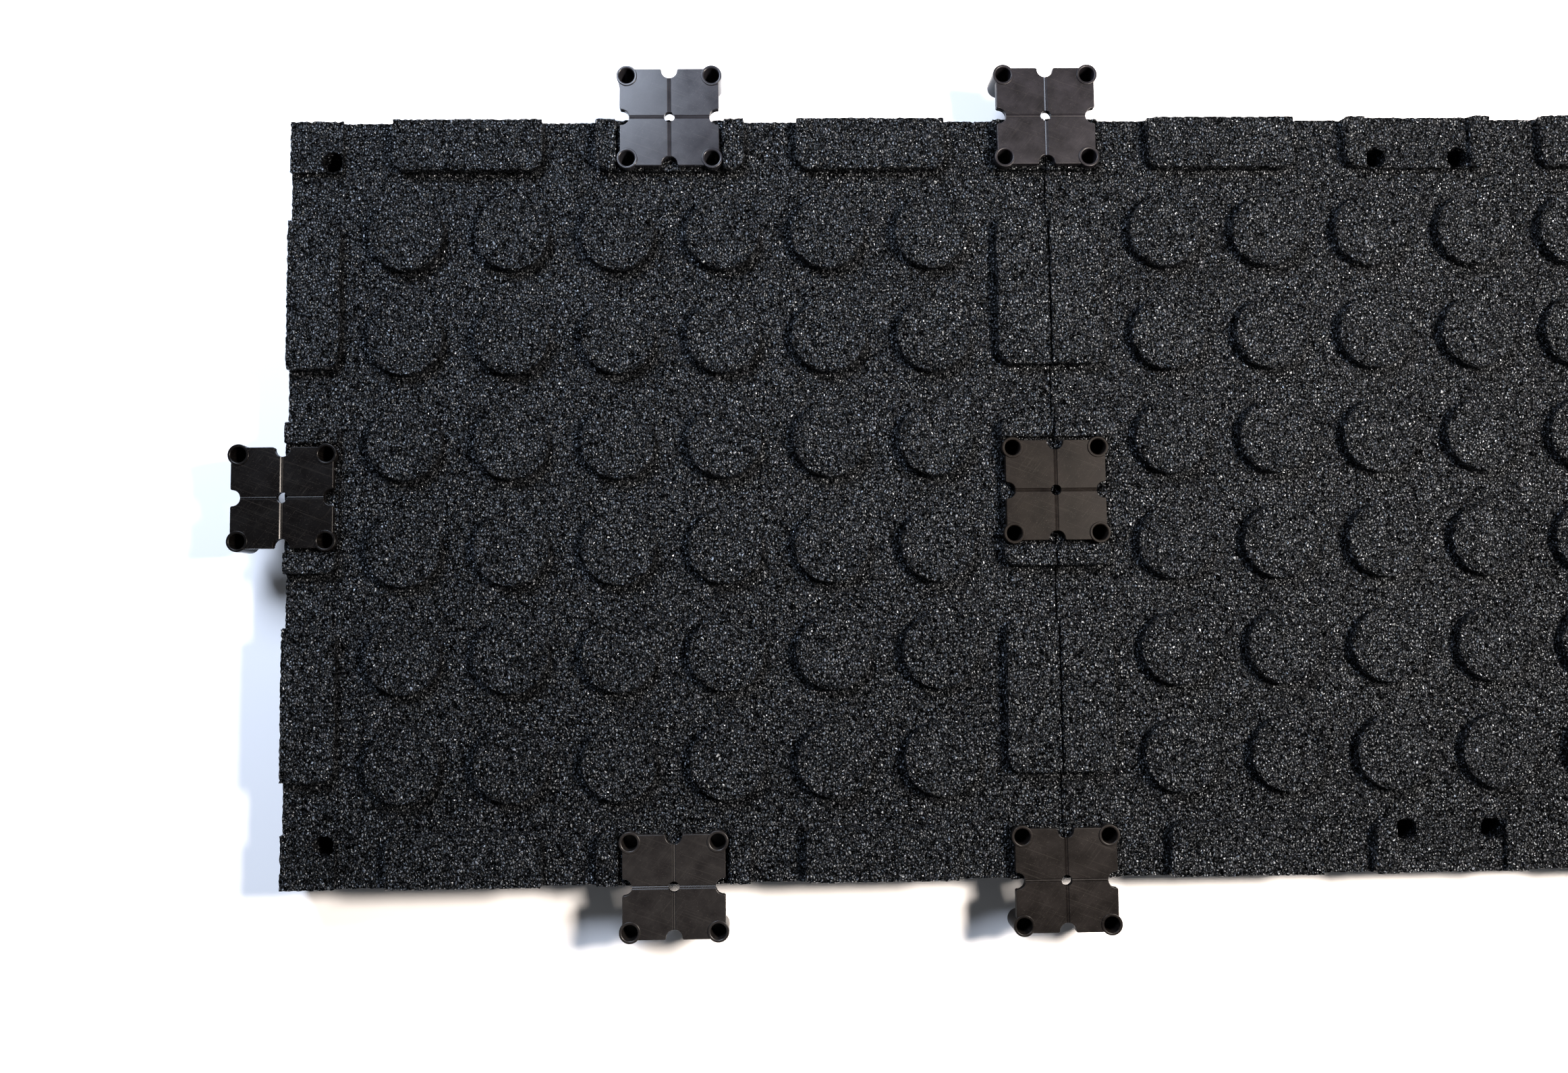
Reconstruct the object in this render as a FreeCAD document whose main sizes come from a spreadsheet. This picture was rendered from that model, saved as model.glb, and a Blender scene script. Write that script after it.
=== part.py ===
# Two square rubber-granulate floor tiles, laid stud side up and butted along one edge,
# with the moulded four-peg connectors that lock them to each other and to their neighbours.
# Units are millimetres. +Z is up and the wear faces lie on Z = 0. The origin is the centre
# of the left tile's wear face, and the right tile is one lattice step along +X.
import FreeCAD, Part
import os
import Sketcher

DIMENSIONS = (
    # alias, value, what it is
    ("tile_side", 500, "square tile, edge to edge"),
    ("tile_thick", 45, "wear face to the tops of studs and pads"),
    ("seam_gap", 0.5, "open joint between two butted tiles"),
    ("relief", 8, "height of studs and pads above the field"),
    ("stud_dia", 49, "round drainage stud"),
    ("stud_pitch", 69, "stud centre to stud centre"),
    ("stud_row", 6, "studs in a row, and rows"),
    ("pad_long", 99, "edge pad along the tile's edge"),
    ("pad_deep", 35, "edge pad across the tile's edge"),
    ("pad_pitch", 133, "edge pad centre to centre"),
    ("pad_round", 9, "inner corners of an edge pad"),
    ("socket_deep", 4.3, "pad top down to a socket floor"),
    ("socket_wide", 70, "socket cut through a middle pad"),
    ("corner_side", 35, "quarter socket at a tile corner"),
    ("hole_dia", 13.5, "peg hole"),
    ("hole_deep", 20, "socket floor down to the hole's end"),
    ("peg_pitch", 56, "peg centre to peg centre"),
    ("peg_dia", 13.3, "outside of a peg, below the plate"),
    ("ring_dia", 13.7, "ring that a peg carries at the plate's corner"),
    ("peg_bore", 10, "blind bore of a hollow peg"),
    ("peg_long", 18, "peg below the plate"),
    ("peg_end", 2, "closed end of a peg"),
    ("peg_lead", 1.2, "lead-in chamfer at a peg's end"),
    ("rim_high", 0.6, "ring above the plate"),
    ("rim_round", 0.8, "rounded mouth of a bore"),
    ("plate_side", 65.5, "connector plate, flat to flat"),
    ("plate_round", 5, "plate corner, hidden by the ring"),
    ("edge_round", 0.4, "outer top edges of plate and rings"),
    ("notch_wide", 10.4, "half-round notch in each side"),
    ("notch_deep", 6.2, "notch, plate side to its end"),
    ("notch_mouth", 1.2, "rounded mouth of a notch"),
    ("overrun", 1, "cut carried on past the plate's side"),
    ("mid_hole", 7, "hole in the plate's middle"),
    ("score_wide", 2.6, "twin V score line across the plate"),
    ("score_deep", 0.5, "depth of each V"),
    ("score_rib", 0.2, "depth of the rib between the two Vs"),
)
LATTICE = "(dims.tile_side + dims.seam_gap)"
SOCKET_FLOOR = "dims.tile_thick - dims.socket_deep"
TINY = 1e-4

doc = FreeCAD.newDocument("RubberTilePair")
sheet = doc.addObject("Spreadsheet::Sheet", "dims")
for row, (alias, value, note) in enumerate(DIMENSIONS, start=1):
    sheet.set(f"A{row}", str(value))
    sheet.setAlias(f"A{row}", alias)
    sheet.set(f"B{row}", note)
doc.recompute()


def size(expression):
    """Value of an expression over the sheet."""
    found = sheet.evalExpression(expression.replace("dims.", ""))
    return float(getattr(found, "Value", found))


def sketch_on(body, name, role="XY_Plane", height=None):
    """New sketch on one of the body's own origin planes, lifted by an expression."""
    sketch = body.newObject("Sketcher::SketchObject", name)
    plane = next(f for f in body.Origin.OriginFeatures if f.Role == role)
    sketch.AttachmentSupport = (plane, "")
    sketch.MapMode = "FlatFace"
    if height:
        sketch.setExpression("AttachmentOffset.Base.z", height)
    return sketch


def bind(sketch, kind, where, expression):
    """Add a dimension to a sketch and tie it to an expression."""
    index = sketch.addConstraint(Sketcher.Constraint(kind, *where, size(expression)))
    sketch.setExpression(f"Constraints[{index}]", expression)


def polygon(sketch, corners):
    """Closed outline whose corners are pairs of expressions."""
    points = [FreeCAD.Vector(size(x), size(y), 0) for x, y in corners]
    first = sketch.GeometryCount
    count = len(points)
    for i in range(count):
        sketch.addGeometry(Part.LineSegment(points[i], points[(i + 1) % count]))
    for i in range(count):
        this, following = first + i, first + (i + 1) % count
        sketch.addConstraint(Sketcher.Constraint("Coincident", this, 2, following, 1))
    for i, (x, y) in enumerate(corners):
        bind(sketch, "DistanceX", (-1, 1, first + i, 1), x)
        bind(sketch, "DistanceY", (-1, 1, first + i, 1), y)


def rectangle(sketch, x0, y0, x1, y1):
    polygon(sketch, ((x0, y0), (x1, y0), (x1, y1), (x0, y1)))


def circle(sketch, x, y, diameter):
    centre = FreeCAD.Vector(size(x), size(y), 0)
    ring = sketch.addGeometry(Part.Circle(centre, FreeCAD.Vector(0, 0, 1), size(diameter) / 2))
    bind(sketch, "DistanceX", (-1, 1, ring, 3), x)
    bind(sketch, "DistanceY", (-1, 1, ring, 3), y)
    bind(sketch, "Diameter", (ring,), diameter)


def pad(body, sketch, name, up, down=None):
    """Pad a sketch up from its plane, and down too if asked."""
    feature = body.newObject("PartDesign::Pad", name)
    feature.Profile = sketch
    feature.setExpression("Length", up)
    if down:
        feature.SideType = "Two sides"
        feature.setExpression("Length2", down)
    doc.recompute()
    return feature


def pocket(body, sketch, name, depth, midplane=False):
    """Cut a sketch down into the body, and make sure that it cuts."""
    before = body.Shape.Volume
    feature = body.newObject("PartDesign::Pocket", name)
    feature.Profile = sketch
    feature.Midplane = midplane
    feature.setExpression("Length", depth)
    doc.recompute()
    if body.Shape.Volume > before - TINY:
        raise RuntimeError(f"{body.Label}: {name} cuts nothing")
    return feature


def around(body, features, name, count, angle=360):
    """Repeat features about the body's own Z axis."""
    pattern = body.newObject("PartDesign::PolarPattern", name)
    pattern.Originals = features
    axis = next(f for f in body.Origin.OriginFeatures if f.Role == "Z_Axis")
    pattern.Axis = (axis, [""])
    pattern.Angle = angle
    pattern.Occurrences = count
    body.Tip = pattern
    doc.recompute()
    return pattern


def dress(body, kind, name, base, edges, amount):
    """Fillet or chamfer the edges of base that a test picks."""
    picked = [f"Edge{i}" for i, edge in enumerate(base.Shape.Edges, start=1) if edges(edge)]
    if not picked:
        raise RuntimeError(f"{body.Label}: no edge for {name}")
    feature = body.newObject(f"PartDesign::{kind}", name)
    feature.Base = (base, picked)
    feature.setExpression("Radius" if kind == "Fillet" else "Size", amount)
    body.Tip = feature
    doc.recompute()
    return feature


def upright(edge, x=None, y=None):
    """True for a vertical edge, at |x| and |y| where they are given."""
    start, end = edge.Vertexes[0].Point, edge.Vertexes[-1].Point
    is_vertical = abs(start.x - end.x) < TINY and abs(start.y - end.y) < TINY
    at_x = x is None or abs(abs(start.x) - x) < TINY
    at_y = y is None or abs(abs(start.y) - y) < TINY
    return is_vertical and at_x and at_y


def level(edge, height):
    """True for an edge that lies flat at one height."""
    return abs(edge.BoundBox.ZMin - height) < TINY and abs(edge.BoundBox.ZMax - height) < TINY


def make_tile(name):
    """Slab with a grid of studs, three pads on each side, four sockets and four quarter sockets."""
    body = doc.addObject("PartDesign::Body", name)
    half = "dims.tile_side / 2"
    field = "dims.tile_thick - dims.relief"

    slab_outline = sketch_on(body, f"{name}_slab_outline")
    rectangle(slab_outline, f"-{half}", f"-{half}", half, half)
    pad(body, slab_outline, f"{name}_slab", field)

    # three pads stand along the +Y edge, and four turns put them on every edge
    pads_outline = sketch_on(body, f"{name}_pads_outline", height=field)
    for step in (-1, 0, 1):
        rectangle(
            pads_outline,
            f"{step} * dims.pad_pitch - dims.pad_long / 2", f"{half} - dims.pad_deep",
            f"{step} * dims.pad_pitch + dims.pad_long / 2", half)
    pads = pad(body, pads_outline, f"{name}_pads", "dims.relief")
    all_pads = around(body, [pads], f"{name}_pads_round", 4)
    inner = size(f"{half} - dims.pad_deep")
    outer = size("dims.pad_pitch + dims.pad_long / 2") + TINY

    def inner_corner(edge):
        reach = edge.BoundBox
        across = min(max(abs(reach.XMin), abs(reach.XMax)), max(abs(reach.YMin), abs(reach.YMax)))
        return (upright(edge, x=inner) or upright(edge, y=inner)) and across < outer

    dress(body, "Fillet", f"{name}_pad_corners", all_pads, inner_corner, "dims.pad_round")

    # one stud in the +X +Y corner of the grid, then rows towards -X and -Y
    stud_outline = sketch_on(body, f"{name}_stud_outline", height=field)
    last_stud = "(dims.stud_row - 1) / 2 * dims.stud_pitch"
    circle(stud_outline, last_stud, last_stud, "dims.stud_dia")
    stud = pad(body, stud_outline, f"{name}_stud", "dims.relief")
    studs = body.newObject("PartDesign::LinearPattern", f"{name}_studs")
    studs.Originals = [stud]
    for suffix, axis in (("", "H_Axis"), ("2", "V_Axis")):
        setattr(studs, f"Direction{suffix}", (stud_outline, [axis]))
        setattr(studs, f"Reversed{suffix}", True)
        studs.setExpression(f"Length{suffix}", "(dims.stud_row - 1) * dims.stud_pitch")
        studs.setExpression(f"Occurrences{suffix}", "dims.stud_row")
    body.Tip = studs
    doc.recompute()

    # quarter socket: a low block in the corner, with its peg hole
    block_outline = sketch_on(body, f"{name}_corner_outline", height=field)
    rectangle(block_outline, f"{half} - dims.corner_side", f"{half} - dims.corner_side", half, half)
    block = pad(body, block_outline, f"{name}_corner", "dims.relief - dims.socket_deep")
    around(body, [block], f"{name}_corners", 4)

    # socket: a channel through the middle pad, with two peg holes
    socket_outline = sketch_on(body, f"{name}_socket_outline", height="dims.tile_thick")
    rectangle(
        socket_outline, "-dims.socket_wide / 2", f"{half} - dims.pad_deep",
        "dims.socket_wide / 2", half)
    socket = pocket(body, socket_outline, f"{name}_socket", "dims.socket_deep")
    around(body, [socket], f"{name}_sockets", 4)

    holes_outline = sketch_on(body, f"{name}_holes_outline", height=SOCKET_FLOOR)
    inset = f"({half} - (dims.peg_pitch - dims.seam_gap) / 2)"
    circle(holes_outline, "dims.peg_pitch / 2", inset, "dims.hole_dia")
    circle(holes_outline, "-dims.peg_pitch / 2", inset, "dims.hole_dia")
    circle(holes_outline, inset, inset, "dims.hole_dia")
    holes = pocket(body, holes_outline, f"{name}_holes", "dims.hole_deep")
    around(body, [holes], f"{name}_all_holes", 4)
    return body


def make_connector(name):
    """Square plate, scored across both ways, with a hollow peg under each corner."""
    body = doc.addObject("PartDesign::Body", name)
    half = "dims.plate_side / 2"
    peg_at = "dims.peg_pitch / 2"
    top = "dims.socket_deep"
    rim = "dims.socket_deep + dims.rim_high"

    plate_outline = sketch_on(body, f"{name}_plate_outline")
    rectangle(plate_outline, f"-{half}", f"-{half}", half, half)
    plate = pad(body, plate_outline, f"{name}_plate", top)
    dress(body, "Fillet", f"{name}_plate_corners", plate, upright, "dims.plate_round")

    # notch: straight walls in from the side, then a half circle
    notch_outline = sketch_on(body, f"{name}_notch_outline", height=top)
    notch_side = "dims.notch_wide / 2"
    notch_turn = f"({half} - dims.notch_deep + {notch_side})"
    rectangle(notch_outline, f"-{notch_side}", notch_turn, notch_side, f"{half} + dims.overrun")
    notch_end = sketch_on(body, f"{name}_notch_end", height=top)
    circle(notch_end, "0", notch_turn, "dims.notch_wide")
    notch = pocket(body, notch_outline, f"{name}_notch", top)
    notch_round = pocket(body, notch_end, f"{name}_notch_round", top)
    notched = around(body, [notch, notch_round], f"{name}_notches", 4)
    mouthed = dress(
        body, "Fillet", f"{name}_notch_mouths", notched,
        lambda edge: upright(edge, size(half), size(notch_side))
        or upright(edge, size(notch_side), size(half)),
        "dims.notch_mouth")
    dress(
        body, "Fillet", f"{name}_plate_edge", mouthed,
        lambda edge: level(edge, size(top)), "dims.edge_round")

    hole_outline = sketch_on(body, f"{name}_hole_outline", height=top)
    circle(hole_outline, "0", "0", "dims.mid_hole")
    pocket(body, hole_outline, f"{name}_hole", top)

    ring_outline = sketch_on(body, f"{name}_ring_outline")
    circle(ring_outline, peg_at, peg_at, "dims.ring_dia")
    ring = pad(body, ring_outline, f"{name}_ring", rim)
    peg_outline = sketch_on(body, f"{name}_peg_outline")
    circle(peg_outline, peg_at, peg_at, "dims.peg_dia")
    peg = pad(body, peg_outline, f"{name}_peg", top, "dims.peg_long")
    pegs = around(body, [ring, peg], f"{name}_pegs", 4)
    ringed = dress(
        body, "Fillet", f"{name}_ring_edge", pegs,
        lambda edge: level(edge, size(rim)), "dims.edge_round")
    dress(
        body, "Chamfer", f"{name}_peg_lead", ringed,
        lambda edge: level(edge, -size("dims.peg_long")), "dims.peg_lead")

    bore_outline = sketch_on(body, f"{name}_bore_outline", height=rim)
    circle(bore_outline, peg_at, peg_at, "dims.peg_bore")
    bore = pocket(body, bore_outline, f"{name}_bore", f"{rim} + dims.peg_long - dims.peg_end")
    bores = around(body, [bore], f"{name}_bores", 4)
    mouth = size("dims.peg_bore") / 2
    dress(
        body, "Fillet", f"{name}_bore_mouths", bores,
        lambda edge: level(edge, size(rim)) and abs(edge.Curve.Radius - mouth) < TINY,
        "dims.rim_round")

    # two crossing score lines, each a pair of Vs side by side
    score_outline = sketch_on(body, f"{name}_score_outline", role="XZ_Plane")
    polygon(score_outline, (
        ("-dims.score_wide / 2", top),
        ("-dims.score_wide / 4", f"{top} - dims.score_deep"),
        ("0", f"{top} - dims.score_rib"),
        ("dims.score_wide / 4", f"{top} - dims.score_deep"),
        ("dims.score_wide / 2", top)))
    score = pocket(body, score_outline, f"{name}_score", "dims.plate_side", midplane=True)
    around(body, [score], f"{name}_scores", 2, angle=90)
    return body


def place(body, x, y, z="0"):
    """Stand a body at an expression-driven place in the row frame."""
    for axis, expression in zip("xyz", (x, y, z)):
        body.setExpression(f"Placement.Base.{axis}", expression)


HALF_STEP = f"{LATTICE} / 2"
CONNECTORS = {
    "connector_far_edge": ("0", HALF_STEP),
    "connector_near_edge": ("0", f"-{HALF_STEP}"),
    "connector_left_edge": (f"-{HALF_STEP}", "0"),
    "connector_seam_far": (HALF_STEP, HALF_STEP),
    "connector_seam_centre": (HALF_STEP, "0"),
    "connector_seam_near": (HALF_STEP, f"-{HALF_STEP}"),
}

pieces = [make_tile("left_tile"), make_tile("right_tile")]
place(pieces[0], "0", "0")
place(pieces[1], LATTICE, "0")
for label, (x, y) in CONNECTORS.items():
    connector = make_connector(label)
    place(connector, x, y, SOCKET_FLOOR)
    pieces.append(connector)
doc.recompute()

for item in doc.Objects:
    if "Invalid" in item.State or "Error" in item.State:
        raise RuntimeError(f"{item.Label}: {item.State}")
os.makedirs("parts", exist_ok=True)
for piece in pieces:
    shape = piece.Shape
    if shape.isNull() or not shape.isValid() or len(shape.Solids) != 1:
        raise RuntimeError(f"{piece.Label}: bad shape")
    shape.exportStep(f"parts/{piece.Label}.step")
    box = shape.BoundBox
    print(f"{piece.Label}: {shape.Volume / 1000:.1f} cm3, X {box.XMin:.2f} to {box.XMax:.2f}, "
          f"Y {box.YMin:.2f} to {box.YMax:.2f}, Z {box.ZMin:.2f} to {box.ZMax:.2f}")
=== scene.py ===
import bpy
import numpy as np
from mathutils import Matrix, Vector


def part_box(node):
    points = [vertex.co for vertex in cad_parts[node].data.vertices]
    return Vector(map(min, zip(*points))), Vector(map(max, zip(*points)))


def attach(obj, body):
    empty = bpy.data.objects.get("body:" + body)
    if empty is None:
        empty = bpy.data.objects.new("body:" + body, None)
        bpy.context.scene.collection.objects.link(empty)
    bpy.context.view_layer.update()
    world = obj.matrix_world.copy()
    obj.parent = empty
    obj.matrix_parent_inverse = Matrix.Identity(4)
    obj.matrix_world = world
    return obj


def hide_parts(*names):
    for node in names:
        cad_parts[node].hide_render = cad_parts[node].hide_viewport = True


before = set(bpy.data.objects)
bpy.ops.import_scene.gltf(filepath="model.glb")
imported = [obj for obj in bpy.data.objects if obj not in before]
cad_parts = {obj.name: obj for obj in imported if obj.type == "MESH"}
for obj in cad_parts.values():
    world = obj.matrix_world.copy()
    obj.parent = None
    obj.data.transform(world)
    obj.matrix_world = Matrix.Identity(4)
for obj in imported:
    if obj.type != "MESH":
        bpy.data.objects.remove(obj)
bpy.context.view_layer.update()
mm = 0.001
print("frame loaded")


# Skins: each patch is an array (rows, columns, 3) in millimetres, and patches are welded into one closed skin.

def linesThrough(stops, step):
    # grid lines through every stop, evenly spaced between stops, about one step apart
    pieces = []
    for a, b in zip(stops[:-1], stops[1:]):
        pieces.append(np.linspace(a, b, max(1, round((b - a) / step)), endpoint=False))
    return np.concatenate(pieces + [np.array([stops[-1]])])


def flatSheet(xs, ys, z):
    # point (i, j) is (xs[j], ys[i], z)
    gridX, gridY = np.meshgrid(xs, ys)
    return np.stack([gridX, gridY, np.full_like(gridX, z)], axis=-1)


def rimOf(sheet):
    # the sheet's outer points, once round, anticlockwise seen from above
    return np.concatenate([sheet[0, :-1], sheet[:-1, -1], sheet[-1, :0:-1], sheet[:0:-1, 0]])


def wallBelow(rim, profile):
    # each profile point (out, z) moves the rim out along its own level normal and gives it that height
    ahead = np.roll(rim, -1, axis=0) - np.roll(rim, 1, axis=0)
    outward = np.stack([ahead[:, 1], -ahead[:, 0]], axis=-1)
    outward /= np.linalg.norm(outward, axis=1, keepdims=True)
    rows = np.repeat(rim[None], len(profile), axis=0)
    for row, (out, z) in zip(rows, profile):
        row[:, :2] += outward * out
        row[:, 2] = z
    return rows


def closed(rows):
    # one more row, all at the middle of the last, shuts the end of a wall or a hole
    return np.concatenate([rows, np.broadcast_to(rows[-1].mean(axis=0), rows[-1:].shape)])


def cells(patch, ring=False, flip=False, keep=None):
    # the four corners of every cell; the columns of a ring wrap round
    if ring:
        patch = np.concatenate([patch, patch[:, :1]], axis=1)
    quads = np.stack([patch[:-1, :-1], patch[:-1, 1:], patch[1:, 1:], patch[1:, :-1]], axis=2)
    quads = quads.reshape(-1, 4, 3) if keep is None else quads[keep]
    return quads[:, ::-1] if flip else quads


def piercedSheet(xs, ys, z, holes, half):
    # a flat sheet with a square window left out round each hole; returns the sheet, which of its cells to keep, and
    # the windows' rims
    sheet = flatSheet(xs, ys, z)
    keep = np.ones((len(ys) - 1, len(xs) - 1), bool)
    windows = []
    for cx, cy in holes:
        left, right = (np.abs(xs - edge).argmin() for edge in (cx - half, cx + half))
        low, high = (np.abs(ys - edge).argmin() for edge in (cy - half, cy + half))
        keep[low:high, left:right] = False
        windows.append(rimOf(sheet[low:high + 1, left:right + 1]))
    return sheet, keep, windows


def funnel(window, centre, radius, floors):
    # from a square window in to the circle, then down the bore through the given heights
    angle = np.arctan2(window[:, 1] - centre[1], window[:, 0] - centre[0])
    circle = window.copy()
    circle[:, 0] = centre[0] + radius * np.cos(angle)
    circle[:, 1] = centre[1] + radius * np.sin(angle)
    rows = [window + (circle - window) * t for t in (0, 0.35, 0.7, 1)]
    for z in floors:
        rows.append(np.column_stack([circle[:, :2], np.full(len(circle), z)]))
    return np.stack(rows)


def turned(quads, quarter):
    # quarter turns about Z
    cos, sin = ((1, 0), (0, 1), (-1, 0), (0, -1))[quarter]
    x, y, z = quads[..., 0], quads[..., 1], quads[..., 2]
    return np.stack([cos * x - sin * y, sin * x + cos * y, z], axis=-1)


weld = dict(
    offset=1000,         # mm added to every coordinate, so that none is negative
    perMm=500,           # points closer than 1/500 mm are one point
    bits=21,             # room for one coordinate in the combined key
)


def welded(quads, seed):
    # equal points become one vertex, and each cell is cut along a diagonal picked at random
    flat = np.concatenate(quads).reshape(-1, 3)
    keys = np.round((flat + weld["offset"]) * weld["perMm"]).astype(np.int64)
    code = (keys[:, 0] << 2 * weld["bits"]) + (keys[:, 1] << weld["bits"]) + keys[:, 2]
    _, first, index = np.unique(code, return_index=True, return_inverse=True)
    corner = index.reshape(-1, 4)
    other = np.random.default_rng(seed).random(len(corner)) < 0.5
    corner[other] = np.roll(corner[other], 1, axis=1)
    triangles = np.concatenate([corner[:, [0, 1, 2]], corner[:, [0, 2, 3]]])
    a, b, c = triangles.T
    return flat[first], triangles[(a != b) & (b != c) & (c != a)]


def crumbled(points, triangles, depth, scatter, seed):
    # a vertex sinks along its normal by depth times a random number, bent so that more vertices stay high, and
    # strays sideways by up to scatter times the mean length of its edges
    a, b, c = (points[triangles[:, k]] for k in range(3))
    across = np.cross(b - a, c - a)
    normal = np.stack([
        sum(np.bincount(triangles[:, k], across[:, axis], len(points)) for k in range(3))
        for axis in range(3)], axis=-1)
    normal /= np.linalg.norm(normal, axis=1, keepdims=True) + 1e-12
    lengths = [np.linalg.norm(q - p, axis=1) for p, q in ((a, b), (b, c), (c, a))]
    edge = sum(np.bincount(triangles[:, k], lengths[k], len(points)) for k in range(3))
    edge /= np.bincount(triangles.ravel(), minlength=len(points))
    random = np.random.default_rng(seed)
    sunk = depth * random.random(len(points)) ** tile["sunkBend"]
    stray = (random.random(points.shape) * 2 - 1) * scatter * np.minimum(edge, tile["longestEdge"])[:, None]
    stray -= normal * (stray * normal).sum(axis=1, keepdims=True)
    return points - normal * sunk[:, None] + stray


def boreAxes():
    # four along each Y side, and the two between them on each X side
    corners = [(x, y) for x in (-farHole, -nearHole, nearHole, farHole) for y in (-farHole, farHole)]
    return corners + [(x, y) for x in (-farHole, farHole) for y in (-nearHole, nearHole)]


def inBore(points, triangles):
    # faces whose middle lies within a peg hole's radius of its axis and below the surface it is drilled from
    middle = points[triangles].mean(axis=1)
    inside = np.zeros(len(triangles), dtype=bool)
    for x, y in boreAxes():
        inside |= np.hypot(middle[:, 0] - x, middle[:, 1] - y) < holeRadius + tile["scatter"]
    return inside & (middle[:, 2] < socketAt - tile["boreShade"]) & (middle[:, 2] > holeEnd - tile["sunk"])


def pieceFrom(name, points, triangles, materials, second, body):
    # second marks the faces that take the second material
    mesh = bpy.data.meshes.new(name)
    mesh.vertices.add(len(points))
    mesh.vertices.foreach_set("co", (points * mm).astype(np.float32).ravel())
    mesh.loops.add(triangles.size)
    mesh.loops.foreach_set("vertex_index", triangles.astype(np.int32).ravel())
    mesh.polygons.add(len(triangles))
    mesh.polygons.foreach_set("loop_start", np.arange(0, triangles.size, 3, dtype=np.int32))
    mesh.polygons.foreach_set("use_smooth", np.zeros(len(triangles), dtype=bool))
    for material in materials:
        mesh.materials.append(material)
    mesh.polygons.foreach_set("material_index", second.astype(np.int32))
    mesh.update(calc_edges=True)
    mesh.validate()
    piece = bpy.data.objects.new(name, mesh)
    bpy.context.scene.collection.objects.link(piece)
    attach(piece, body)
    return piece


def linear(code):
    # sRGB hex to linear RGBA: v / 12.92 up to 0.04045, and above it ((v + 0.055) / 1.055) to the power 2.4
    parts = [int(code[i:i + 2], 16) / 255 for i in (1, 3, 5)]
    return tuple(p / 12.92 if p <= 0.04045 else ((p + 0.055) / 1.055) ** 2.4 for p in parts) + (1.0,)


def addNode(tree, kind, links=None, stops=(), **settings):
    # links maps an input's name or number to a value or to another node's output; stops are a ramp's colours
    made = tree.nodes.new(kind)
    for name, value in settings.items():
        setattr(made, name, value)
    for name, value in (links or {}).items():
        if isinstance(value, bpy.types.NodeSocket):
            tree.links.new(value, made.inputs[name])
        else:
            made.inputs[name].default_value = value
    for number, (place, code) in enumerate(stops):
        if number >= len(made.color_ramp.elements):
            made.color_ramp.elements.new(1.0)
        made.color_ramp.elements[number].position = place
        made.color_ramp.elements[number].color = linear(code)
    return made


def newMaterial(name):
    # one principled surface, ready to be linked to
    material = bpy.data.materials.new(name)
    material.use_nodes = True
    tree = material.node_tree
    tree.nodes.clear()
    surface = addNode(tree, "ShaderNodeBsdfPrincipled")
    addNode(tree, "ShaderNodeOutputMaterial", {"Surface": surface.outputs["BSDF"]})
    return material, tree, surface


crumb = dict(
    grain=2.05,          # mm across one crumb, ground tyre rubber of 1 to 4 mm
    chip=1.25,           # mm across one cut face of a crumb
    stretch=(1.0, 0.62, 0.8),  # crumbs are slivers, longer along Y than along X or Z
    squeeze=1.3,         # makes up for that stretch, so the mean size stays grain
    wander=1.6,          # mm that the outlines wander, so crumbs are ragged and not round
    wanderOver=4.5,      # mm over which they do
    grainTilt=0.9,       # how far a crumb leans from the surface
    chipTilt=1.3,        # how far each cut face leans from its crumb
    gap=0.34,            # share of a crumb that falls away into the gap beside it, in the bump; over the same share colour and shine fade to black, painted shade
    binder=0.35,         # mm between the fine ripples of the binder on each crumb
    gloss=0.95,          # wet-looking polyurethane film, over the usual 0.5
    smoothest=0.1,       # roughness of the smoothest cut face
    roughest=0.52,       # and of the roughest
    hollow=0.6,          # mm that the gaps between crumbs look deep
    ripples=0.2,         # share of that which the binder's ripples have
    # share of crumbs below which each tone begins: near black to dark grey, then rare cream, pale and rust
    tones=((0.0, "#040405"), (0.15, "#09090b"), (0.4, "#121316"), (0.65, "#1b1c20"), (0.85, "#28292d"),
           (0.955, "#3a3b40"), (0.9965, "#8d877b"), (0.9982, "#cfc7b4"), (0.9993, "#8a4a2c")),
)


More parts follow.
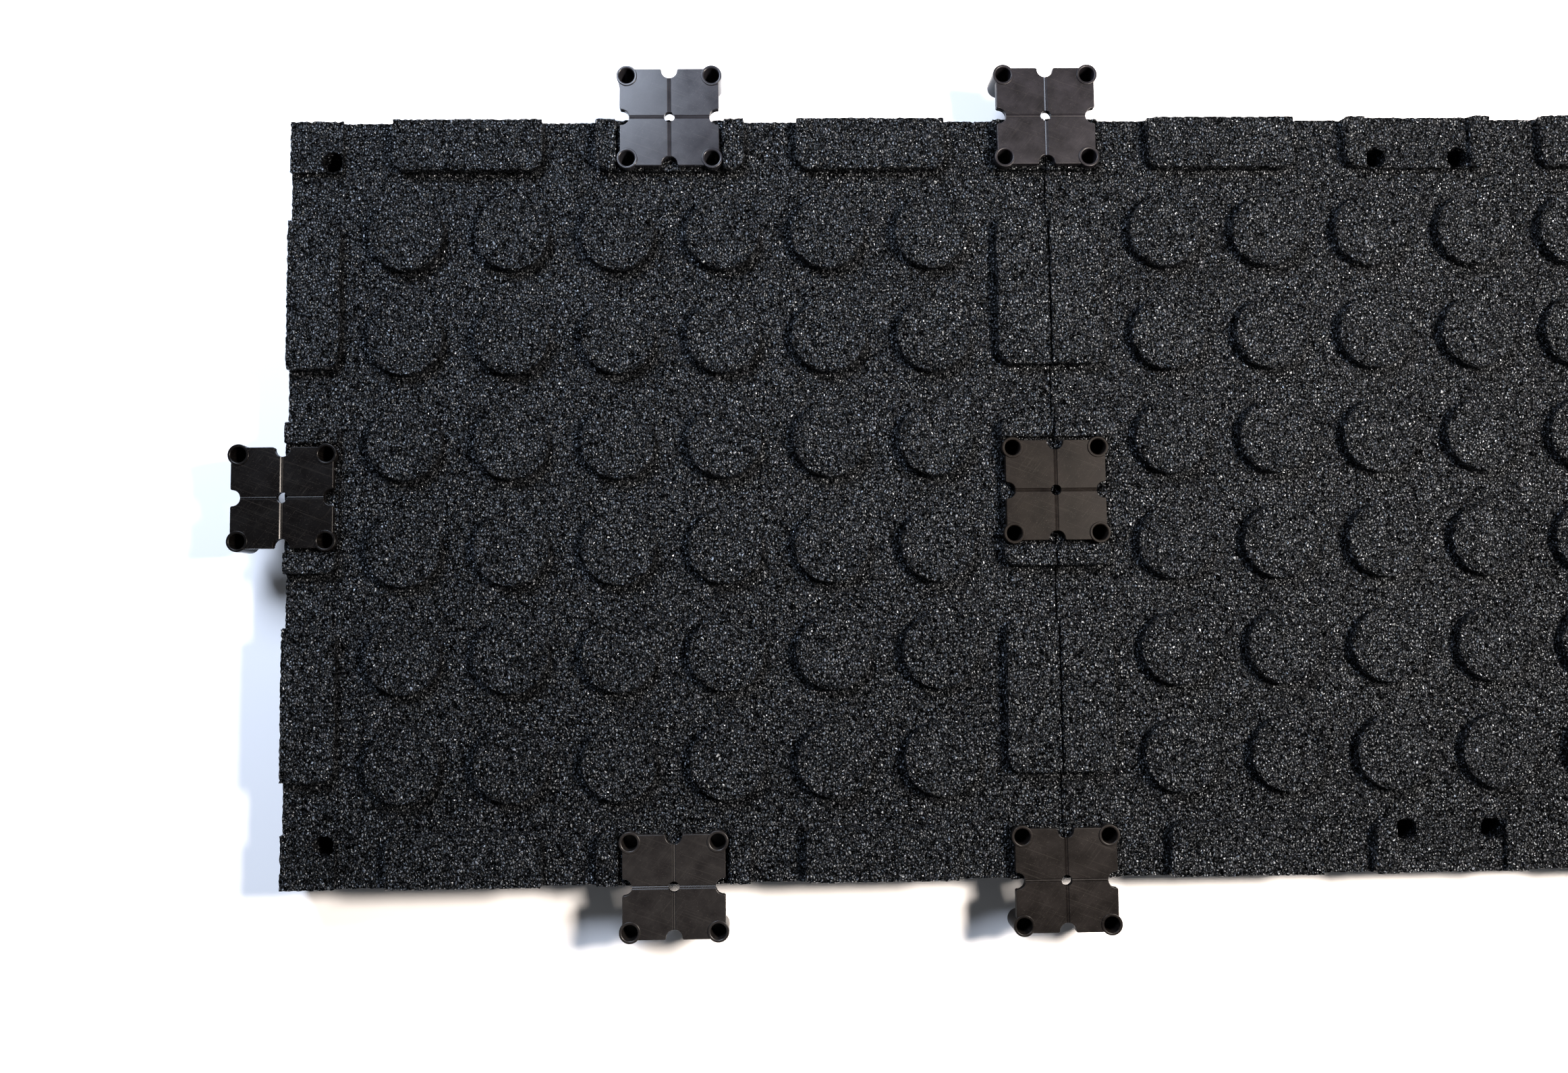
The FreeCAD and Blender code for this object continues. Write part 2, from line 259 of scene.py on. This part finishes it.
def bondedCrumbRubber(name, seed):
    # Ground tyre rubber in polyurethane binder, pressed in a mould: near black, cut faces that each catch the light
    # their own way, painted shade that fades colour and shine to black in the gaps between crumbs, and rare cream and
    # rust crumbs from other rubber.
    material, tree, surface = newMaterial(name)
    place = addNode(tree, "ShaderNodeTexCoord").outputs["Object"]
    wander = addNode(tree, "ShaderNodeTexNoise", {
        "Vector": place, "Scale": 1 / (crumb["wanderOver"] * mm), "Detail": 3.0, "Roughness": 0.65})
    centred = addNode(tree, "ShaderNodeVectorMath", {0: wander.outputs["Color"], 1: (0.5, 0.5, 0.5)},
                      operation="SUBTRACT")
    pushed = addNode(tree, "ShaderNodeVectorMath", {
        0: centred.outputs[0], 1: (crumb["wander"] * mm * 2,) * 3, 2: place}, operation="MULTIPLY_ADD")
    moved = addNode(tree, "ShaderNodeVectorMath", {0: pushed.outputs[0], 1: (seed, seed * 0.37, 0.0)})
    long = addNode(tree, "ShaderNodeVectorMath", {0: moved.outputs[0], 1: crumb["stretch"]}, operation="MULTIPLY")
    perMetre = crumb["squeeze"] / (crumb["grain"] * mm)
    grain = addNode(tree, "ShaderNodeTexVoronoi", {"Vector": long.outputs[0], "Scale": perMetre})
    edge = addNode(tree, "ShaderNodeTexVoronoi", {"Vector": long.outputs[0], "Scale": perMetre},
                   feature="DISTANCE_TO_EDGE")
    chip = addNode(tree, "ShaderNodeTexVoronoi", {"Vector": moved.outputs[0], "Scale": 1 / (crumb["chip"] * mm)})
    lot = addNode(tree, "ShaderNodeSeparateColor", {"Color": grain.outputs["Color"]})
    cut = addNode(tree, "ShaderNodeSeparateColor", {"Color": chip.outputs["Color"]})

    tone = addNode(tree, "ShaderNodeValToRGB", {"Fac": lot.outputs["Blue"]}, stops=crumb["tones"])
    tone.color_ramp.interpolation = "CONSTANT"
    # painted shade: depth is 0 at a crumb's edge and 1 inside it, and the base colour and the specular level are
    # multiplied by it, so the gaps between crumbs are painted black; the same depth also drives the bump below
    depth = addNode(tree, "ShaderNodeMapRange", {
        "Value": edge.outputs["Distance"], "From Max": crumb["gap"], "To Min": 0.0},
        interpolation_type="SMOOTHSTEP").outputs["Result"]
    shaded = addNode(tree, "ShaderNodeMix", {0: 1.0, 6: tone.outputs["Color"], 7: depth},
                     data_type="RGBA", blend_type="MULTIPLY")
    gloss = addNode(tree, "ShaderNodeMapRange", {"Value": cut.outputs["Green"], "To Min": crumb["smoothest"],
                                                "To Max": crumb["roughest"]})
    shine = addNode(tree, "ShaderNodeMath", {0: depth, 1: crumb["gloss"]}, operation="MULTIPLY")

    # the surface normal n leaned one way for the crumb and another for the cut face: n + tilt (colour - 1/2)
    facing = addNode(tree, "ShaderNodeNewGeometry").outputs["Normal"]
    for colour, tilt in ((grain.outputs["Color"], crumb["grainTilt"]), (chip.outputs["Color"], crumb["chipTilt"])):
        lean = addNode(tree, "ShaderNodeVectorMath", {0: colour, 1: (0.5, 0.5, 0.5)}, operation="SUBTRACT")
        facing = addNode(tree, "ShaderNodeVectorMath", {0: lean.outputs[0], 1: (tilt,) * 3, 2: facing},
                         operation="MULTIPLY_ADD").outputs[0]
    level = addNode(tree, "ShaderNodeVectorMath", {0: facing}, operation="NORMALIZE")
    ripple = addNode(tree, "ShaderNodeTexNoise", {
        "Vector": place, "Scale": 1 / (crumb["binder"] * mm), "Detail": 2.0})
    relief = addNode(tree, "ShaderNodeMath", {
        0: ripple.outputs["Fac"], 1: crumb["ripples"], 2: depth}, operation="MULTIPLY_ADD")
    bump = addNode(tree, "ShaderNodeBump", {
        "Strength": 0.8, "Distance": crumb["hollow"] * mm, "Height": relief.outputs[0], "Normal": level.outputs[0]})
    for socket, source in (("Base Color", shaded.outputs[2]), ("Roughness", gloss.outputs["Result"]),
                           ("Specular IOR Level", shine.outputs[0]), ("Normal", bump.outputs["Normal"])):
        tree.links.new(source, surface.inputs[socket])
    surface.inputs["IOR"].default_value = 1.52
    surface.inputs["Specular Tint"].default_value = linear("#eef7ff")
    return material


def paintedBoreShade(name):
    # painted shade: the walls of the peg holes are made dead black and dull, standing in for the shade deep in a
    # hole, so a bore shows as a black dot
    material, _, surface = newMaterial(name)
    surface.inputs["Base Color"].default_value = linear("#030304")
    surface.inputs["Roughness"].default_value = 0.85
    surface.inputs["Specular IOR Level"].default_value = 0.1
    return material


plastic = dict(
    cloud=14.0,          # mm across the soft patches of mould haze
    dust=0.7,            # mm across a fleck of dust
    dusty=0.1,           # most of the dust's colour that a fleck adds
    grit=0.45,           # mm across the fine grain of the moulded skin
    gritDeep=0.06,       # mm that the grain looks deep
    scratches=((0.9, 24.0), (-0.35, 34.0)),     # which way each lot lies, in radians, and its length in mm
    slim=60.0,           # length of a scratch over its width
    scuff=0.014,         # share of the worn colour in a scratch
    uneven=0.05,         # the haze moves the roughness this far both ways
)


def mouldedPlastic(name, dark, light, gloss, roughness, seed):
    # Injection-moulded polypropylene filled with carbon black: satin, a little brown, with mould haze, dust and
    # faint short scratches.
    material, tree, surface = newMaterial(name)
    place = addNode(tree, "ShaderNodeTexCoord").outputs["Object"]
    moved = addNode(tree, "ShaderNodeVectorMath", {0: place, 1: (seed, seed * 0.61, 0.0)}).outputs[0]
    cloud = addNode(tree, "ShaderNodeTexNoise", {"Vector": moved, "Scale": 1 / (plastic["cloud"] * mm),
                                                 "Detail": 4.0, "Roughness": 0.62})
    tint = addNode(tree, "ShaderNodeValToRGB", {"Fac": cloud.outputs["Fac"]}, stops=((0.3, dark), (0.7, light)))
    speck = addNode(tree, "ShaderNodeTexNoise", {"Vector": moved, "Scale": 1 / (plastic["dust"] * mm), "Detail": 3.0})
    dust = addNode(tree, "ShaderNodeMapRange", {
        "Value": speck.outputs["Fac"], "From Min": 0.62, "From Max": 0.8, "To Max": plastic["dusty"]})
    dusty = addNode(tree, "ShaderNodeMix", {
        0: dust.outputs["Result"], 6: tint.outputs["Color"], 7: linear("#8c867c")}, data_type="RGBA")

    # scratches: the few peaks of a noise drawn out long and thin
    worn = []
    for turn, stretch in plastic["scratches"]:
        spun = addNode(tree, "ShaderNodeMapping", {
            "Vector": moved, "Rotation": (0.0, 0.0, turn),
            "Scale": (stretch * mm, stretch * mm / plastic["slim"], stretch * mm)}, vector_type="TEXTURE")
        line = addNode(tree, "ShaderNodeTexNoise", {"Vector": spun.outputs[0], "Scale": 1.0, "Detail": 0.0})
        worn.append(addNode(tree, "ShaderNodeMapRange", {
            "Value": line.outputs["Fac"], "From Min": 0.7, "From Max": 0.74}).outputs["Result"])
    both = addNode(tree, "ShaderNodeMath", {0: worn[0], 1: worn[1]}, operation="MAXIMUM")
    scuffed = addNode(tree, "ShaderNodeMath", {0: both.outputs[0], 1: plastic["scuff"]}, operation="MULTIPLY")
    finished = addNode(tree, "ShaderNodeMix", {
        0: scuffed.outputs[0], 6: dusty.outputs[2], 7: linear("#a39c92")}, data_type="RGBA")
    rough = addNode(tree, "ShaderNodeMapRange", {
        "Value": cloud.outputs["Fac"], "From Min": 0.3, "From Max": 0.7,
        "To Min": roughness - plastic["uneven"], "To Max": roughness + plastic["uneven"]})
    grit = addNode(tree, "ShaderNodeTexNoise", {"Vector": moved, "Scale": 1 / (plastic["grit"] * mm), "Detail": 2.0})
    bump = addNode(tree, "ShaderNodeBump", {
        "Strength": 0.25, "Distance": plastic["gritDeep"] * mm, "Height": grit.outputs["Fac"]})
    for socket, source in (("Base Color", finished.outputs[2]), ("Roughness", rough.outputs["Result"]),
                           ("Normal", bump.outputs["Normal"])):
        tree.links.new(source, surface.inputs[socket])
    surface.inputs["IOR"].default_value = 1.49
    surface.inputs["Specular IOR Level"].default_value = gloss
    return material


tile = dict(             # millimetres, in the tile's own frame, centred on the tile
    grain=1.95,          # one cell of the skin
    wearGrain=1.15,      # how many times larger a cell of the wear face is
    relief=8.0,          # height of studs and pads over the field
    socketDown=4.3,      # socket floor below the tops of the studs
    studAcross=49.0, studPitch=69.0, studRow=6,
    padLong=99.0, padDeep=35.0, padPitch=133.0, padRound=9.0,
    socketWide=70.0, cornerSide=35.0, socketLip=0.25,
    holeAcross=13.5, holeDown=20.0, pegPitch=56.0, seamGap=0.5,
    tuckStuds=1.0,       # studs and pads run on this far below the field
    tuckSocket=0.6,      # and socket floors this far
    window=9.75,         # half the square round a hole where the grid gives way to rings
    lap=18.0,            # height where the upper skin of the slab passes into the lower
    sunk=1.15,           # deepest that crumb lies below the moulded surface
    wearSunk=0.5,        # the same on the wear face, which was pressed against a flat plate
    sunkBend=1.3,        # power that keeps more of the crumb high than low
    scatter=0.3,         # share of the edges round a vertex that it may stray sideways
    longestEdge=2.2,     # edges longer than this count as this long
    slabLip=0.45,        # share of the pads' shoulder that the slab's own edge has
    boreShade=0.5,       # mm below the socket floor where the bore's painted black shade begins
)
low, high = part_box("left_tile")
tileHalf = (high.x - low.x) / 2 / mm
tileThick = (high.z - low.z) / mm
fieldAt = tileThick - tile["relief"]
socketAt = tileThick - tile["socketDown"]
holeEnd = socketAt - tile["holeDown"]
holeRadius = tile["holeAcross"] / 2
nearHole = tile["pegPitch"] / 2
farHole = tileHalf - (tile["pegPitch"] - tile["seamGap"]) / 2
shoulder = ((0.0, 0.0), (0.55, -0.3), (1.0, -1.0), (1.1, -2.2))      # rounded top edge of raised crumb, out and down


def steps(top, bottom, step=2.0):
    # heights on the way down, without the first
    return np.linspace(top, bottom, max(2, round((top - bottom) / step) + 1))[1:]


def wallProfile(top, bottom, lip=1.0):
    # the shoulder, shrunk by lip, then straight down to the bottom
    profile = [(out * lip, top + down * lip) for out, down in shoulder]
    return profile + [(shoulder[-1][0] * lip, z) for z in steps(profile[-1][1], bottom)]


def slabUpper():
    # field of the underside with twelve blind holes, and the upper part of the tile's sides
    lip = tile["slabLip"]
    inset = tileHalf - lip * shoulder[-1][0]
    reach = tile["window"]
    stops = [farHole + reach, farHole - reach, nearHole + reach, nearHole - reach]
    stops = [-inset] + [-s for s in stops] + stops[::-1] + [inset]
    lines = linesThrough(stops, tile["grain"])
    holes = boreAxes()
    sheet, keep, windows = piercedSheet(lines, lines, fieldAt, holes, reach)
    quads = [cells(sheet, keep=keep)]
    for centre, window in zip(holes, windows):
        quads.append(cells(closed(funnel(window, centre, holeRadius, steps(fieldAt, holeEnd))), ring=True))
    walls = wallBelow(rimOf(sheet), wallProfile(fieldAt, tile["lap"] - 1, lip))
    return quads + [cells(closed(walls), ring=True, flip=True)]


def slabLower():
    # wear face and the lower part of the sides
    lip = tile["slabLip"]
    inset = tileHalf - lip * shoulder[-1][0]
    lines = linesThrough([-inset, inset], tile["grain"] * tile["wearGrain"])
    sheet = flatSheet(lines, lines, 0.0)
    profile = [(lip * out, -lip * down) for out, down in shoulder]
    profile += [(profile[-1][0], z) for z in steps(profile[-1][1], tile["lap"])]
    walls = wallBelow(rimOf(sheet), profile)
    return [cells(sheet, flip=True), cells(closed(walls), ring=True)]


def studs():
    # a square grid pressed into a disc: x' = x sqrt(1 - y^2/2), y' = y sqrt(1 - x^2/2), then the round wall
    top = tile["studAcross"] / 2 - shoulder[-1][0]
    unit = np.linspace(-1, 1, round(2 * top / tile["grain"]) + 1)
    square = flatSheet(unit, unit, tileThick)
    x, y = square[..., 0], square[..., 1]
    disc = np.stack([x * np.sqrt(1 - y ** 2 / 2) * top, y * np.sqrt(1 - x ** 2 / 2) * top, square[..., 2]], -1)
    one = [cells(disc), cells(closed(wallBelow(rimOf(disc), wallProfile(tileThick, fieldAt - tile["tuckStuds"]))),
                              ring=True, flip=True)]
    places = (np.arange(tile["studRow"]) - (tile["studRow"] - 1) / 2) * tile["studPitch"]
    return [quads + (px, py, 0.0) for px in places for py in places for quads in one]


def raisedBlock(x0, x1, y0, y1, rounded=()):
    # a pad: rectangle of crumb with a rounded top edge, its chosen corners (+1/-1 in x, y) pulled onto an arc
    lip = shoulder[-1][0]
    xs = linesThrough([x0 + lip, x1 - lip], tile["grain"])
    ys = linesThrough([y0 + lip, y1 - lip], tile["grain"])
    sheet = flatSheet(xs, ys, tileThick)
    radius = tile["padRound"] - lip
    for sideX, sideY in rounded:
        cornerX, cornerY = (x1 - lip if sideX > 0 else x0 + lip), (y1 - lip if sideY > 0 else y0 + lip)
        a = 1 - np.abs(sheet[..., 0] - cornerX) / radius
        b = 1 - np.abs(sheet[..., 1] - cornerY) / radius
        inside = (a > 0) & (b > 0)
        arcX = cornerX - sideX * radius * (1 - a * np.sqrt(1 - b ** 2 / 2, where=inside, out=np.ones_like(a)))
        arcY = cornerY - sideY * radius * (1 - b * np.sqrt(1 - a ** 2 / 2, where=inside, out=np.ones_like(a)))
        sheet[..., 0] = np.where(inside, arcX, sheet[..., 0])
        sheet[..., 1] = np.where(inside, arcY, sheet[..., 1])
    walls = wallBelow(rimOf(sheet), wallProfile(tileThick, fieldAt - tile["tuckStuds"]))
    return [cells(sheet), cells(closed(walls), ring=True, flip=True)]


def socketFloor(x0, x1, y0, y1, holes):
    # a low block at the socket's level, pierced by the peg holes
    lip, bottom, reach = tile["socketLip"], fieldAt - tile["tuckSocket"], tile["window"]
    edges = []
    for start, end, axis in ((x0 + lip, x1 - lip, 0), (y0 + lip, y1 - lip, 1)):
        stops = {start, end}
        for hole in holes:
            stops |= {max(start, hole[axis] - reach), min(end, hole[axis] + reach)}
        edges.append(linesThrough(sorted(stops), tile["grain"]))
    sheet, keep, windows = piercedSheet(*edges, socketAt, holes, reach)
    under, _, windowsUnder = piercedSheet(*edges, bottom, holes, reach)
    quads = [cells(sheet, keep=keep), cells(under, keep=keep, flip=True)]
    for centre, window, below in zip(holes, windows, windowsUnder):
        bore = funnel(window, centre, holeRadius, steps(socketAt, bottom, 1.2))
        back = funnel(below, centre, holeRadius, ())[::-1]
        quads.append(cells(np.concatenate([bore, back[1:]]), ring=True))
    walls = wallBelow(rimOf(sheet), [(0, socketAt), (lip, socketAt - lip), (lip, fieldAt), (0, bottom)])
    return quads + [cells(walls, ring=True, flip=True)]


def padsAndSockets():
    # everything along the +Y side, then the same on the other three
    inner, outer = tileHalf - tile["padDeep"], tileHalf
    halfPad, halfSocket = tile["padLong"] / 2, tile["socketWide"] / 2
    side = []
    for step in (-1, 1):
        middle = step * tile["padPitch"]
        side += raisedBlock(middle - halfPad, middle + halfPad, inner, outer, ((-1, -1), (1, -1)))
    side += raisedBlock(halfSocket, halfPad, inner, outer, ((1, -1),))
    side += raisedBlock(-halfPad, -halfSocket, inner, outer, ((-1, -1),))
    tuck = tile["window"] - (halfSocket - nearHole)       # the floor runs on under the end blocks
    side += socketFloor(-halfSocket - tuck, halfSocket + tuck, inner, outer,
                        ((-nearHole, farHole), (nearHole, farHole)))
    corner = tileHalf - tile["cornerSide"]
    side += socketFloor(corner, outer, corner, outer, ((farHole, farHole),))
    return [turned(quads, quarter) for quarter in range(4) for quads in side]


def rubberTile(node, seed):
    # the four skins of one tile in place of its plain shape; clipping keeps strays inside the tile's own box
    low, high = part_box(node)
    centre = np.array([(low.x + high.x) / 2 / mm, (low.y + high.y) / 2 / mm, 0.0])
    rubber = bondedCrumbRubber(f"{node}_bonded_crumb", seed * 1.7)
    boreShadeMaterial = paintedBoreShade(f"{node}_painted_bore_shade")
    made = []
    for part, quads, depth in (
            ("slab_upper", slabUpper(), tile["sunk"]), ("slab_lower", slabLower(), tile["wearSunk"]),
            ("studs", studs(), tile["sunk"]), ("pads", padsAndSockets(), tile["sunk"])):
        points, triangles = welded(quads, seed)
        points = crumbled(points, triangles, depth, tile["scatter"], seed + len(made) + 1)
        points = np.clip(points, (-tileHalf, -tileHalf, 0.0), (tileHalf, tileHalf, tileThick))
        # faces in the peg holes take the second material, the painted black shade of the bores
        piece = pieceFrom(f"{node}_{part}", points + centre, triangles, (rubber, boreShadeMaterial), inBore(points, triangles),
                          node)
        made.append(piece)
        print(f"{piece.name}: {len(triangles)} triangles")
    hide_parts(node)


rubberTile("left_tile", 11)
rubberTile("right_tile", 47)
print("tiles done")


litAndShadedPlates = {               # darkest and lightest tint, gloss, and roughness of each plate; the six are one moulding, but each plate's tint and gloss are set lighter or darker for how the light falls on it, painted light and shade
    "connector_far_edge": ("#17171b", "#242428", 0.33, 0.22),
    "connector_near_edge": ("#131111", "#1d1b1a", 0.34, 0.34),
    "connector_left_edge": ("#060505", "#090808", 0.16, 0.28),
    "connector_seam_far": ("#131214", "#1d1b1f", 0.26, 0.34),
    "connector_seam_centre": ("#0d0b0a", "#171412", 0.035, 0.36),
    "connector_seam_near": ("#0c0a09", "#151211", 0.14, 0.34),
}
# painted light and shade: each plate gets its own lit or shaded copy of the moulded plastic, while the haze between
# its two tints is the plastic's own
for number, (node, (dark, light, gloss, rough)) in enumerate(litAndShadedPlates.items()):
    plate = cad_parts[node]
    plate.data.materials.clear()
    plate.data.materials.append(mouldedPlastic(f"{node}_moulded_plastic", dark, light, gloss, rough, number * 0.9))
    print(f"{node}: material set")
print("connectors done")


def stageSheet(name, size, z, colour):
    # a square of plain matte paint, size metres across
    half = size / 2
    mesh = bpy.data.meshes.new(name)
    mesh.from_pydata([(-half, -half, z), (half, -half, z), (half, half, z), (-half, half, z)], [], [(0, 1, 2, 3)])
    material, _, surface = newMaterial(f"{name}_paint")
    surface.inputs["Base Color"].default_value = linear(colour)
    surface.inputs["Roughness"].default_value = 0.9
    mesh.materials.append(material)
    sheet = bpy.data.objects.new(name, mesh)
    bpy.context.scene.collection.objects.link(sheet)


def softbox(name, place, target, size, power, colour):
    # a lamp with a diffusing front of the given size in metres, power in watts, turned from place towards target
    lamp = bpy.data.lights.new(name, "AREA")
    lamp.shape = "RECTANGLE"
    lamp.size, lamp.size_y = size
    lamp.energy = power
    lamp.color = linear(colour)[:3]
    box = bpy.data.objects.new(name, lamp)
    box.location = place
    box.rotation_euler = (Vector(target) - Vector(place)).to_track_quat("-Z", "Y").to_euler()
    bpy.context.scene.collection.objects.link(box)


stageSheet("floor", 3.6, 0.0, "#f4f4f5")
softbox("right_box", (0.84, 0.1, 1.02), (0.4, 0.0, 0.0), (0.26, 0.26), 46, "#fff2e6")
softbox("far_box", (-0.46, 0.9, 1.05), (-0.2, 0.1, 0.0), (0.6, 0.6), 34, "#deeaff")

# pale studio walls all round under a dark ceiling: strength falls from the horizon up, by the sine of the height
room = dict(walls=0.6, ceiling=0.05, wallsEnd=0.12, ceilingStarts=0.5)
world = bpy.data.worlds.new("studio")
world.use_nodes = True
background = world.node_tree.nodes["Background"]
background.inputs["Color"].default_value = linear("#eef2f8")
heading = addNode(world.node_tree, "ShaderNodeTexCoord").outputs["Generated"]
height = addNode(world.node_tree, "ShaderNodeSeparateXYZ", {0: heading}).outputs["Z"]
walls = addNode(world.node_tree, "ShaderNodeMapRange", {
    "Value": height, "From Min": room["wallsEnd"], "From Max": room["ceilingStarts"],
    "To Min": room["walls"], "To Max": room["ceiling"]}, interpolation_type="SMOOTHSTEP")
world.node_tree.links.new(walls.outputs["Result"], background.inputs["Strength"])
bpy.context.scene.world = world
bpy.context.scene.view_settings.view_transform = "Standard"

view = dict(place=(0.05576, -0.08227, 0.82843), turn=(0.06866, -0.02047, -0.01235), focal=1800, frameWide=2324)
lens = bpy.data.cameras.new("camera")
lens.sensor_width = 36.0
lens.lens = lens.sensor_width * view["focal"] / view["frameWide"]
camera = bpy.data.objects.new("camera", lens)
camera.location = view["place"]
camera.rotation_euler = view["turn"]
bpy.context.scene.collection.objects.link(camera)
bpy.context.scene.camera = camera
print("stage done")
